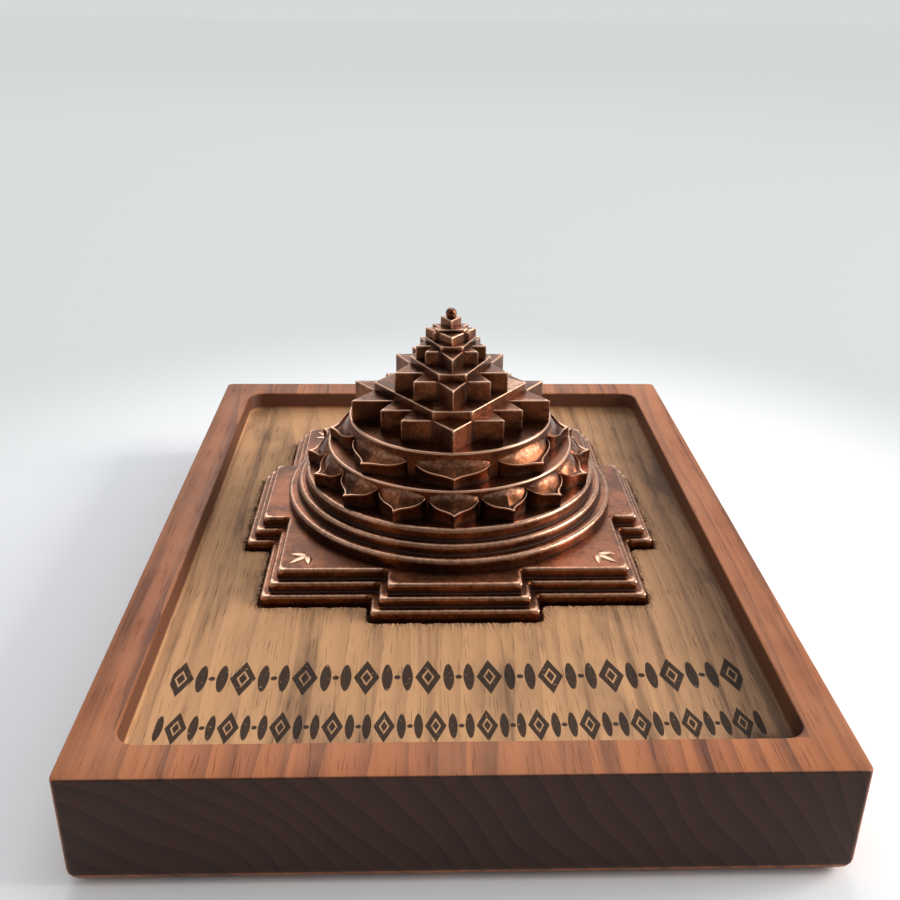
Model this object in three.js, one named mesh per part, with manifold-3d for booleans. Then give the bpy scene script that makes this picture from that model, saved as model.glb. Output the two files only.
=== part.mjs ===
// A raised shri yantra: a stepped copper Meru that rests in the routed pocket of a wooden tray.
// Millimetres. +Z is up, +Y runs to the back, and the origin is the middle of the tray's underside.
import * as THREE from 'three';
import { mergeVertices } from 'three/addons/utils/BufferGeometryUtils.js';
import Module from 'manifold-3d';

const wasm = await Module();
wasm.setup();

// Wooden tray, cut from one block
const trayWidth = 150;
const trayLength = 198;
const trayHeight = 26;
const trayFootRound = 4;
const sideRimWidth = 9;
const endRimWidth = 9.5;
const recessDepth = 6;
const recessCornerRadius = 4.5;
const pocketDepth = 3;
const pocketClearance = 0.9;
const pocketCornerRadius = 1.6;
const yantraSetback = 13;

// Square base with four gates, in three steps
const baseHalf = 46.4;
const gateReach = 6.9;
const gateHalf = 19.9;
const baseStepSetback = 1.95;
const baseStepHeights = [5.4, 2.4, 2.6];
const baseCornerRadius = 0.9;
const baseEdgeRound = 0.5;

// Three round girdles
const girdleRadii = [43.9, 41.1, 39];
const girdleHeights = [3, 2.6, 3.2];
const girdleEdgeRound = 0.6;

// Lotus tiers: a drum with petals that spring from its wall.
// A petal's edge is rim high at the tip and climbs by horn to both ends.
const outerLotus = {
  petals: 16,
  drumRadius: 32.8,
  drumHeight: 7.2,
  tipRadius: 38.7,
  halfAngle: 10.9,
  rim: 2.9,
  horn: 2.2,
  crown: 6.9,
  bend: 1.5,
};
const innerLotus = {
  petals: 8,
  drumRadius: 27,
  drumHeight: 7.5,
  tipRadius: 32.5,
  halfAngle: 20.5,
  rim: 2.5,
  horn: 1.9,
  crown: 6.6,
  bend: 0.95,
};
const petalCheekShare = 0.56;
const petalCheekPower = 0.6;
const petalTipPower = 6;
const petalHornPower = 2.5;
const petalRootDepth = 1.2;
const drumEdgeRound = 0.4;

// The nine triangles, drawn in a circle whose diameter is 48 parts, counted from the back.
// With these levels three lines meet in every crossing.
const yantraRadius = 26.9;
const circleParts = 48;
const level1 = 6.24;
const level2 = 11.994;
const level3 = 17.082;
const level6 = 26.34;
const level7 = 30.339;
const level8 = 36.137;
const level9 = 42.13;

// Heights of the triangle tiers: the blocks, then the plate on them
const fourteenHeights = [5.9, 2.4];
const outerTenHeights = [5.3, 2];
const innerTenHeights = [3.7, 1.3];
const eightHeights = [2.4, 0.7];
const centralHeight = 2.4;
const binduRadius = 1.45;
const binduSink = 0.35;

// Fineness of curves
const roundSteps = 64;
const arcSteps = 2;
const petalStepsAcross = 12;
const petalStepsOut = 3;
const footArcSteps = 5;
const cutterOvershoot = 1;

const wood = new THREE.MeshStandardMaterial({ name: 'wood', color: 0x7b4a35, roughness: 0.6, metalness: 0 });
const copper = new THREE.MeshStandardMaterial({ name: 'copper', color: 0x8a5645, roughness: 0.35, metalness: 1 });

// Turns a closed geometry into a solid, with shared corners welded and empty faces dropped.
function solid(geometry) {
  geometry.deleteAttribute('normal');
  geometry.deleteAttribute('uv');
  const welded = mergeVertices(geometry, 1e-4);
  const index = welded.index.array;
  const triangles = [];
  for (let i = 0; i < index.length; i += 3) {
    const [a, b, c] = [index[i], index[i + 1], index[i + 2]];
    if (a !== b && b !== c && c !== a) triangles.push(a, b, c);
  }
  const vertProperties = new Float32Array(welded.attributes.position.array);
  return new wasm.Manifold(new wasm.Mesh({ numProp: 3, vertProperties, triVerts: new Uint32Array(triangles) }));
}

function joined(solids) {
  return solids.reduce((whole, piece) => whole.add(piece));
}

// A named piece in its own place above its group's origin.
function piece(name, body, material, height = 0) {
  const { vertProperties, triVerts } = body.getMesh();
  const geometry = new THREE.BufferGeometry();
  geometry.setAttribute('position', new THREE.BufferAttribute(new Float32Array(vertProperties), 3));
  geometry.setIndex(new THREE.BufferAttribute(new Uint32Array(triVerts), 1));
  geometry.computeVertexNormals();
  const mesh = new THREE.Mesh(geometry, material);
  mesh.name = name;
  mesh.position.z = height;
  return mesh;
}

// An outline whose corners are eased by a short curve.
function easedShape(corners, radius) {
  const shape = new THREE.Shape();
  corners.forEach((corner, i) => {
    const before = corners[(i + corners.length - 1) % corners.length];
    const after = corners[(i + 1) % corners.length];
    const start = corner.clone().add(before.clone().sub(corner).setLength(radius));
    const end = corner.clone().add(after.clone().sub(corner).setLength(radius));
    if (i === 0) shape.moveTo(start.x, start.y);
    else shape.lineTo(start.x, start.y);
    shape.quadraticCurveTo(corner.x, corner.y, end.x, end.y);
  });
  shape.closePath();
  return shape;
}

// An upright prism on an outline, with its long edges rounded inside the outline.
function prism(shape, bottom, top, round = 0) {
  const geometry = new THREE.ExtrudeGeometry(shape, {
    depth: top - bottom - 2 * round,
    curveSegments: arcSteps,
    bevelEnabled: round > 0,
    bevelThickness: round,
    bevelSize: round,
    bevelOffset: -round,
    bevelSegments: 1,
  });
  geometry.translate(0, 0, bottom + round);
  return solid(geometry);
}

// A round solid from a profile of (radius, height) points that runs up from axis to axis.
function turned(profile) {
  const points = profile.map(([radius, height]) => new THREE.Vector2(radius, height));
  const geometry = new THREE.LatheGeometry(points, roundSteps);
  geometry.rotateX(Math.PI / 2);
  return solid(geometry);
}

// The outer edge of one round step, from its foot to its rounded top.
function stepEdge(radius, foot, top, round) {
  const edge = [[radius, foot]];
  for (let i = 0; i <= arcSteps; i++) {
    const turn = (i / arcSteps) * (Math.PI / 2);
    edge.push([radius - round + round * Math.cos(turn), top - round + round * Math.sin(turn)]);
  }
  return edge;
}

// The square with a gate in the middle of each side.
function gateOutline(half, reach, gate) {
  const quarter = [[gate, -half - reach], [gate, -half], [half, -half], [half, -gate], [half + reach, -gate]];
  const middle = new THREE.Vector2();
  return [0, 1, 2, 3].flatMap((turn) =>
    quarter.map(([x, y]) => new THREE.Vector2(x, y).rotateAround(middle, (turn * Math.PI) / 2)));
}

// The tray's section: square above, with both bottom corners rounded.
function footedSection(width) {
  const half = width / 2;
  const shape = new THREE.Shape();
  shape.moveTo(half, trayHeight);
  shape.lineTo(-half, trayHeight);
  shape.lineTo(-half, trayFootRound);
  shape.absarc(-half + trayFootRound, trayFootRound, trayFootRound, Math.PI, 1.5 * Math.PI, false);
  shape.lineTo(half - trayFootRound, 0);
  shape.absarc(half - trayFootRound, trayFootRound, trayFootRound, 1.5 * Math.PI, 2 * Math.PI, false);
  shape.closePath();
  return shape;
}

function footedBar(width, length, turn) {
  const options = { depth: length, bevelEnabled: false, curveSegments: footArcSteps };
  const geometry = new THREE.ExtrudeGeometry(footedSection(width), options);
  geometry.translate(0, 0, -length / 2);
  geometry.rotateX(Math.PI / 2);
  geometry.rotateZ(turn);
  return solid(geometry);
}

function wholeTray() {
  const block = footedBar(trayWidth, trayLength, 0).intersect(footedBar(trayLength, trayWidth, Math.PI / 2));
  const halfX = trayWidth / 2 - sideRimWidth;
  const halfY = trayLength / 2 - endRimWidth;
  const recessCorners = [[-halfX, -halfY], [halfX, -halfY], [halfX, halfY], [-halfX, halfY]];
  const recessShape = easedShape(recessCorners.map(([x, y]) => new THREE.Vector2(x, y)), recessCornerRadius);
  const recess = prism(recessShape, trayHeight - recessDepth, trayHeight + cutterOvershoot);
  const pocketCorners = gateOutline(baseHalf + pocketClearance, gateReach, gateHalf + pocketClearance);
  const pocketShape = easedShape(pocketCorners, pocketCornerRadius);
  const pocketFloor = trayHeight - recessDepth - pocketDepth;
  const pocket = prism(pocketShape, pocketFloor, trayHeight).translate([0, yantraSetback, 0]);
  return block.subtract(recess).subtract(pocket);
}

// Three steps on one outline, each drawn in from the one below.
function gatedBase() {
  let foot = 0;
  const steps = baseStepHeights.map((height, i) => {
    const setback = i * baseStepSetback;
    const outline = gateOutline(baseHalf - setback, gateReach, gateHalf - setback);
    const bottom = i === 0 ? 0 : foot - 2 * baseEdgeRound;
    foot += height;
    return prism(easedShape(outline, baseCornerRadius), bottom, foot, baseEdgeRound);
  });
  return joined(steps);
}

function girdles() {
  const profile = [[0, 0]];
  let foot = 0;
  girdleRadii.forEach((radius, i) => {
    profile.push(...stepEdge(radius, foot, foot + girdleHeights[i], girdleEdgeRound));
    foot += girdleHeights[i];
  });
  profile.push([0, foot]);
  return turned(profile);
}

// How far the petal's edge stands out at share s of its half width: full cheeks that end in a drawn-out tip.
function petalReach(s) {
  const size = Math.min(1, Math.abs(s));
  const cheek = petalCheekShare * (1 - size ** 3) ** petalCheekPower;
  const tip = (1 - petalCheekShare) * (1 - size) ** petalTipPower;
  return cheek + tip;
}

// The petal's height at share s of its half width and share t of the way out: a swelling that falls to the edge.
function petalHeight({ rim, horn, crown, bend }, s, t) {
  const edge = rim + horn * Math.abs(s) ** petalHornPower;
  const swell = Math.sqrt(Math.max(0, 1 - s * s));
  const fall = (1 + Math.cos(Math.PI * t ** bend)) / 2;
  return edge + (crown - edge) * swell * fall;
}

// One petal as a closed patch: a domed top, upright edges and a flat bottom.
function petal(lotus, turn) {
  const across = petalStepsAcross;
  const out = petalStepsOut;
  const halfAngle = THREE.MathUtils.degToRad(lotus.halfAngle);
  const positions = [];
  for (const isTop of [true, false]) {
    for (let i = 0; i <= across; i++) {
      const s = (2 * i) / across - 1;
      const edge = lotus.drumRadius + (lotus.tipRadius - lotus.drumRadius) * petalReach(s);
      for (let j = 0; j <= out; j++) {
        const t = j / out;
        const radius = THREE.MathUtils.lerp(lotus.drumRadius - petalRootDepth, edge, t);
        const angle = turn + s * halfAngle;
        positions.push(radius * Math.sin(angle), -radius * Math.cos(angle), isTop ? petalHeight(lotus, s, t) : 0);
      }
    }
  }
  const top = (i, j) => i * (out + 1) + j;
  const bottom = (i, j) => (across + 1) * (out + 1) + top(i, j);
  const index = [];
  const quad = (a, b, c, d) => index.push(a, b, c, a, c, d);
  for (let i = 0; i < across; i++) {
    for (let j = 0; j < out; j++) {
      quad(top(i, j), top(i, j + 1), top(i + 1, j + 1), top(i + 1, j));
      quad(bottom(i, j), bottom(i + 1, j), bottom(i + 1, j + 1), bottom(i, j + 1));
    }
    quad(top(i, out), bottom(i, out), bottom(i + 1, out), top(i + 1, out));
    quad(top(i + 1, 0), bottom(i + 1, 0), bottom(i, 0), top(i, 0));
  }
  for (let j = 0; j < out; j++) {
    quad(top(0, j), bottom(0, j), bottom(0, j + 1), top(0, j + 1));
    quad(top(across, j + 1), bottom(across, j + 1), bottom(across, j), top(across, j));
  }
  const geometry = new THREE.BufferGeometry();
  geometry.setAttribute('position', new THREE.Float32BufferAttribute(positions, 3));
  geometry.setIndex(index);
  return solid(geometry);
}

function lotusTier(lotus) {
  const edge = stepEdge(lotus.drumRadius, 0, lotus.drumHeight, drumEdgeRound);
  const drum = turned([[0, 0], ...edge, [0, lotus.drumHeight]]);
  const petals = Array.from({ length: lotus.petals }, (_, i) => petal(lotus, (i * 2 * Math.PI) / lotus.petals));
  return joined([drum, ...petals]);
}

// A triangle's side: how far it lies from the middle line at any level.
function triangleSide(apex, base, halfWidth) {
  const slope = halfWidth / (base - apex);
  return { apex, slope, at: (level) => slope * (level - apex) };
}

// The side of a triangle whose edge passes through a given point.
function sideThrough(apex, base, [width, level]) {
  return triangleSide(apex, base, (width * (base - apex)) / (level - apex));
}

function on(side, level) {
  return [side.at(level), level];
}

function crossing(a, b) {
  const level = (a.slope * a.apex - b.slope * b.apex) / (a.slope - b.slope);
  return [a.at(level), level];
}

function halfChord(level) {
  const radius = circleParts / 2;
  return Math.sqrt(radius ** 2 - (level - radius) ** 2);
}

// Four triangles point back and five point front, each named by the level that carries its base.
function nineTriangles() {
  const back7 = triangleSide(0, level7, halfChord(level7));
  const front3 = triangleSide(circleParts, level3, halfChord(level3));
  const front1 = sideThrough(level6, level1, on(back7, level2));
  const front2 = sideThrough(level9, level2, on(back7, level3));
  const back8 = sideThrough(level1, level8, on(front3, level7));
  const back9 = sideThrough(level3, level9, on(front3, level8));
  const back6 = sideThrough(level2, level6, on(front2, level6));
  const level4 = crossing(back6, front1)[1];
  const front4 = sideThrough(level8, level4, on(back8, level4));
  const level5 = crossing(back9, front1)[1];
  const front5 = sideThrough(level7, level5, on(back6, level5));
  return { back6, back7, back8, back9, front1, front2, front3, front4, front5, level4, level5 };
}

// The right half of each outline, from the back to the front.
function tierOutlines() {
  const { back6, back7, back8, back9, front1, front2, front3, front4, front5, level4, level5 } = nineTriangles();
  return {
    fourteen: {
      star: [[0, 0], on(back7, level1), on(front1, level1), on(front1, level2), on(front2, level2),
        on(front2, level3), on(front3, level3), crossing(front3, back7), on(back7, level7), on(back8, level7),
        on(back8, level8), on(back9, level8), on(back9, level9), on(front3, level9), [0, circleParts]],
      plate: [on(back7, level1), crossing(back7, front3), on(front3, level9)],
    },
    outerTen: {
      star: [[0, level1], on(back8, level2), on(back7, level2), on(front1, level3), on(back7, level3),
        crossing(front2, back8), on(front3, level7), on(back9, level7), on(front3, level8), on(front2, level8),
        [0, level9]],
      plate: [on(back8, level2), crossing(back8, front2), on(front2, level8)],
    },
    innerTen: {
      star: [[0, level2], on(back6, level3), on(back8, level3), on(front1, level4), on(front4, level4),
        crossing(front4, back6), on(back6, level6), on(back9, level6), on(front2, level7), on(front4, level7),
        [0, level8]],
      plate: [on(back6, level3), crossing(back6, front4), on(front4, level7)],
    },
    eight: {
      star: [[0, level3], on(back9, level4), on(back6, level4), on(front1, level5), on(front5, level5),
        crossing(front5, back9), on(front4, level6), on(front5, level6), [0, level7]],
      plate: [on(back9, level4), crossing(back9, front5), on(front5, level6)],
    },
    central: { star: [on(front1, level5), [0, level6]] },
    middle: (2 * level5 + level6) / 3,
  };
}

function fromMiddle(level) {
  return (circleParts / 2 - level) * (yantraRadius * 2 / circleParts);
}

// The whole outline in millimetres, mirrored to both sides of the middle line.
function mirroredShape(rightHalf) {
  const part = (yantraRadius * 2) / circleParts;
  const right = rightHalf.map(([width, level]) => new THREE.Vector2(width * part, fromMiddle(level)));
  const left = right.filter((point) => point.x > 0).map((point) => new THREE.Vector2(-point.x, point.y)).reverse();
  return new THREE.Shape([...right, ...left].reverse());
}

// A ring of blocks on the star outline under the plate that carries the next ring.
function triangleTier({ star, plate }, [blockHeight, plateHeight]) {
  const blocks = prism(mirroredShape(star), 0, blockHeight);
  const cover = prism(mirroredShape(plate), blockHeight / 2, blockHeight + plateHeight);
  return blocks.add(cover);
}

// A ball with a small flat foot.
function binduBall() {
  const middle = binduRadius - binduSink;
  const start = -Math.asin(middle / binduRadius);
  const profile = [[0, 0]];
  const steps = 4 * arcSteps;
  for (let i = 0; i < steps; i++) {
    const turn = THREE.MathUtils.lerp(start, Math.PI / 2, i / steps);
    profile.push([binduRadius * Math.cos(turn), middle + binduRadius * Math.sin(turn)]);
  }
  profile.push([0, middle + binduRadius]);
  const points = profile.map(([radius, height]) => new THREE.Vector2(radius, height));
  const geometry = new THREE.LatheGeometry(points, 8 * arcSteps);
  geometry.rotateX(Math.PI / 2);
  return solid(geometry);
}

// The copper pieces, stacked from the base up.
function copperStack() {
  const outlines = tierOutlines();
  const sum = (heights) => heights.reduce((total, height) => total + height, 0);
  const rows = [
    ['bhupura_base', gatedBase(), sum(baseStepHeights)],
    ['mekhala_rings', girdles(), sum(girdleHeights)],
    ['sixteen_petal_tier', lotusTier(outerLotus), outerLotus.drumHeight],
    ['eight_petal_tier', lotusTier(innerLotus), innerLotus.drumHeight],
    ['fourteen_triangle_tier', triangleTier(outlines.fourteen, fourteenHeights), sum(fourteenHeights)],
    ['outer_ten_tier', triangleTier(outlines.outerTen, outerTenHeights), sum(outerTenHeights)],
    ['inner_ten_tier', triangleTier(outlines.innerTen, innerTenHeights), sum(innerTenHeights)],
    ['eight_triangle_tier', triangleTier(outlines.eight, eightHeights), sum(eightHeights)],
    ['central_triangle', prism(mirroredShape(outlines.central.star), 0, centralHeight), centralHeight],
  ];
  const stack = new THREE.Group();
  let height = 0;
  for (const [name, body, rise] of rows) {
    stack.add(piece(name, body, copper, height));
    height += rise;
  }
  const bindu = piece('bindu', binduBall(), copper, height);
  bindu.position.y = fromMiddle(outlines.middle);
  stack.add(bindu);
  stack.position.set(0, yantraSetback, trayHeight - recessDepth - pocketDepth);
  return stack;
}

const yantra = new THREE.Group();
yantra.add(piece('wooden_tray', wholeTray(), wood));
yantra.add(copperStack());

export default yantra;
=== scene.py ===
"""Dresses a raised copper shri yantra and its routed wooden tray around their packed frame.

Run it as a script in Blender. Shapes are worked out in millimetres and put into meshes in metres.
"""
from math import cos, pi, radians, sin

import bpy
import numpy as np
from bpy.props import FloatProperty, FloatVectorProperty, PointerProperty
from bpy.types import Operator, Panel, PropertyGroup
from mathutils import Matrix, Vector


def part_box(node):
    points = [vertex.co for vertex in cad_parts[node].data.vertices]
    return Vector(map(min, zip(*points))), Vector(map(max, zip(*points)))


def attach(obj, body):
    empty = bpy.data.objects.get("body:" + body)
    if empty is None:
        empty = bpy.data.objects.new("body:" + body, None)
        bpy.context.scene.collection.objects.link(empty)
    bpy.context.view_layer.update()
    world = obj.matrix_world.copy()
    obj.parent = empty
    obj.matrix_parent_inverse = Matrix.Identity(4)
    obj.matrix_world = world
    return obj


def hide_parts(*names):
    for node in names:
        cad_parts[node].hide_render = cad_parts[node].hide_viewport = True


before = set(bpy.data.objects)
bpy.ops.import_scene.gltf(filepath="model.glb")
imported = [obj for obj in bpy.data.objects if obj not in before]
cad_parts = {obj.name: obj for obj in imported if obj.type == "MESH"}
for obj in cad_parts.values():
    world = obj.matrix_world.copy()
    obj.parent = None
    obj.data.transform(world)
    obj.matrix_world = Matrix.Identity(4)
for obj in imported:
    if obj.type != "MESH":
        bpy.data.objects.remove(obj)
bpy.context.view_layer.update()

bl_info = {
    "name": "Shri Yantra on a Wooden Tray",
    "version": (1, 0, 0),
    "blender": (4, 5, 0),
    "location": "View3D > Sidebar > Yantra",
    "description": "Makes the copper tiers, the tray and their finishes",
    "category": "Add Mesh",
}

MM = 0.001
TAU = 2 * pi


def node_box(node):
    """The lowest and highest corners of a frame node, in millimetres."""
    low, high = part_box(node)
    return np.array(low) / MM, np.array(high) / MM


TRAY_LOW, TRAY_HIGH = node_box("wooden_tray")
BASE_LOW, BASE_HIGH = node_box("bhupura_base")
MIDDLE = (BASE_LOW + BASE_HIGH)[:2] / 2


def painted(red, green, blue):
    """A display colour from 0 to 255, as the linear colour that shaders use."""
    shares = np.array([red, green, blue]) / 255
    linear = np.where(shares <= 0.04045, shares / 12.92, ((shares + 0.055) / 1.055) ** 2.4)
    return tuple(float(v) for v in linear)


def colour(name, description, red, green, blue):
    """A colour that a user may change."""
    return FloatVectorProperty(
        name=name, description=description, subtype="COLOR", size=3, min=0, max=1,
        default=painted(red, green, blue))


def length(name, description, value):
    """A length in millimetres that a user may change."""
    return FloatProperty(name=name, description=description, default=value, min=0, unit="NONE")


class YantraTray(PropertyGroup):
    """Sizes in millimetres and colours of the tray."""
    side_rim: length("Side rim", "Width of the rim along the sides, in mm", 9)
    end_rim: length("End rim", "Width of the rim at the ends, in mm", 9.5)
    recess_depth: length("Recess depth", "Depth of the recess below the rim, in mm", 6)
    recess_corner: length("Recess corner", "Radius of the recess corners, in mm", 4.5)
    foot_round: length("Foot round", "Radius of the bottom edges, in mm", 4)
    edge_round: length("Edge round", "Radius of the upper edges, in mm", 0.5)
    pocket_gap: length("Pocket gap", "Gap between the copper base and its pocket, in mm", 0.9)
    torn: length("Torn edge", "How far the pocket's torn edge wanders, in mm", 0.35)
    wood: colour("Wood", "Colour of the rim and sides", 166, 98, 56)
    wood_dark: colour("Dark streaks", "Colour of the streaks and pores", 92, 50, 30)
    floor_wood: colour("Recess floor", "Colour of the weathered recess floor", 188, 142, 100)
    end_wood: colour("End grain", "Colour of the dark end grain", 68, 38, 24)
    burnt: colour("Burnt marks", "Colour of the burnt ornament and scorched corner", 30, 19, 14)


class YantraCopper(PropertyGroup):
    """Sizes in millimetres and colours of the copper."""
    gate_reach: length("Gate reach", "How far a gate stands out of the square, in mm", 6.9)
    gate_half: length("Gate half width", "Half the width of the lowest gate step, in mm", 19.9)
    setback: length("Step setback", "How far each base step draws in, in mm", 1.95)
    step_low: length("Lowest step", "Height of the lowest base step, in mm", 5.4)
    step_middle: length("Middle step", "Height of the middle base step, in mm", 2.4)
    edge_round: length("Edge round", "Radius of the cast edges, in mm", 0.55)
    crisp_round: length("Triangle edge round", "Radius of the triangle edges, in mm", 0.22)
    patina: colour("Patina", "Colour of the dark antique patina", 80, 48, 31)
    warm: colour("Warm copper", "Colour where the patina is thin", 146, 88, 58)
    # Colour of rubbed edges and of the painted highlights on edges and domes
    bright: colour("Worn edge", "Colour of the rubbed edges", 226, 180, 150)
    # Colour of grime and of the painted shade in corners, feet and grooves
    grime_and_painted_shade: colour("Grime", "Colour of the corners that nothing rubs", 38, 22, 15)


class Value:
    """One number or colour socket. Operators on it add Math nodes."""

    def __init__(self, shader, socket):
        self.shader = shader
        self.socket = socket

    def math(self, operation, *others, before=None):
        terms = (self, *others) if before is None else (before, self)
        return self.shader.add("ShaderNodeMath", {"operation": operation}, dict(enumerate(terms)))

    def __add__(self, other):
        return self.math("ADD", other)

    def __sub__(self, other):
        return self.math("SUBTRACT", other)

    def __mul__(self, other):
        return self.math("MULTIPLY", other)

    def __truediv__(self, other):
        return self.math("DIVIDE", other)

    def __pow__(self, other):
        return self.math("POWER", other)

    def __rsub__(self, other):
        return self.math("SUBTRACT", before=other)

    def __abs__(self):
        return self.math("ABSOLUTE")

    def fraction(self):
        return self.math("FRACT")

    def larger(self, other):
        return self.math("MAXIMUM", other)

    def smaller(self, other):
        return self.math("MINIMUM", other)

    def rise(self, start, end):
        """0 up to start, 1 from end on, smooth between. With start above end it falls."""
        settings = {"interpolation_type": "SMOOTHSTEP", "clamp": True}
        limits = (start, end, 0.0, 1.0) if start < end else (end, start, 1.0, 0.0)
        return self.shader.add("ShaderNodeMapRange", settings, dict(enumerate((self, *limits))))

    __radd__ = __add__
    __rmul__ = __mul__


class Shader:
    """A material's nodes, all added by one method."""

    def __init__(self, name):
        self.material = bpy.data.materials.new(name)
        self.material.use_nodes = True
        self.tree = self.material.node_tree
        self.tree.nodes.clear()

    def add(self, kind, settings=None, inputs=None, output=0):
        node = self.tree.nodes.new(kind)
        for key, value in (settings or {}).items():
            setattr(node, key, value)
        for key, value in (inputs or {}).items():
            if isinstance(value, Value):
                self.tree.links.new(value.socket, node.inputs[key])
            else:
                node.inputs[key].default_value = value
        return Value(self, node.outputs[output])

    def place(self):
        """Object coordinates in millimetres."""
        raw = self.add("ShaderNodeTexCoord", output="Object")
        return self.add("ShaderNodeVectorMath", {"operation": "SCALE"}, {0: raw, "Scale": 1 / MM})

    def parts(self, vector):
        split = self.add("ShaderNodeSeparateXYZ", inputs={0: vector})
        return [Value(self, socket) for socket in split.socket.node.outputs]

    def stretched(self, vector, scale):
        return self.add("ShaderNodeVectorMath", {"operation": "MULTIPLY"}, {0: vector, 1: scale})

    def noise(self, vector, scale, detail=3.0, roughness=0.55):
        inputs = {"Vector": vector, "Scale": scale, "Detail": detail, "Roughness": roughness}
        return self.add("ShaderNodeTexNoise", None, inputs, "Fac")

    def mix(self, mask, first, second):
        """The first colour where the mask is 0, the second where it is 1."""
        first, second = (v if isinstance(v, Value) else (*v, 1.0) for v in (first, second))
        return self.add("ShaderNodeMix", {"data_type": "RGBA"}, {0: mask, 6: first, 7: second}, 2)

    def attribute(self, name):
        return self.add("ShaderNodeAttribute", {"attribute_name": name}, output="Fac")

    def bump(self, height, distance, strength=1.0):
        inputs = {"Height": height, "Distance": distance * MM, "Strength": strength}
        return self.add("ShaderNodeBump", None, inputs)

    def finish(self, **sockets):
        inputs = {key.replace("_", " "): value for key, value in sockets.items()}
        surface = self.add("ShaderNodeBsdfPrincipled", None, inputs)
        self.add_output(surface)
        return self.material

    def add_output(self, surface):
        node = self.tree.nodes.new("ShaderNodeOutputMaterial")
        self.tree.links.new(surface.socket, node.inputs["Surface"])


# The burnt rows: middle along Y, width and height of one cell, and how far both run to each side
BURNT_ROWS = ((-61.9, 13.2, 12.4), (-77.9, 10.4, 10.2))
BURNT_SPAN = 61.6
# The far line that the growth rings run round, and the width of one ring
PITH_X, PITH_Z = -120.0, -95.0
RING_WIDTH = 4.6
SCORCH_X, SCORCH_Y = 62.0, -86.0
WARM_WOOD = painted(176, 116, 76)
FLOOR_DARK = painted(104, 76, 56)
# Dark of frayed fibres and of painted shade in the gap round the copper base
WALL_DARK = painted(92, 56, 38)
TORN_AND_GAP_SHADE = painted(74, 50, 38)
END_DARK = painted(34, 20, 17)
COPPER_SPOT = painted(72, 44, 36)
# Girdles: the radius of each step and the height of its top
GIRDLE_STEPS = ((43.9, 3.0), (41.1, 5.6), (39.0, None))
PETAL_ROOT = 1.2
BLOCK_RISES = {"fourteen": 5.9, "outer_ten": 5.3, "inner_ten": 3.7, "eight": 2.4}
TRAY_CORNER = 1.3
FLOOR_FILLET = 0.6
BOX_MARGIN = (0.02, 0.02, 0)


def motif_row(x, y, row):
    """Burnt lozenges with a leaf and a dot on each side, repeated along X inside the span.

    Each form is the set of points whose distance from its middle or its curve is under a limit.
    """
    middle_y, cell, tall = row
    across = ((x / cell).fraction() - 0.5) * cell
    side = abs(across)
    up = y - middle_y
    lozenge = side / (0.20 * cell) + abs(up) / (0.46 * tall)
    line = abs(lozenge - 0.78).rise(0.30, 0.24)
    heart = lozenge.rise(0.38, 0.30)
    leaf_turn = (side - 0.335 * cell) / (0.095 * cell)
    leaf_up = up / (0.40 * tall)
    leaf_size = leaf_turn * leaf_turn + abs(leaf_up) ** 1.5
    leaf = leaf_size.rise(1.0, 0.8)
    dot_side = side - 0.5 * cell
    dot = ((dot_side * dot_side + up * up) ** 0.5).rise(0.07 * tall, 0.045 * tall)
    inside = abs(x).rise(BURNT_SPAN, BURNT_SPAN - 0.4)
    return line.larger(heart).larger(leaf).larger(dot) * inside


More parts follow.
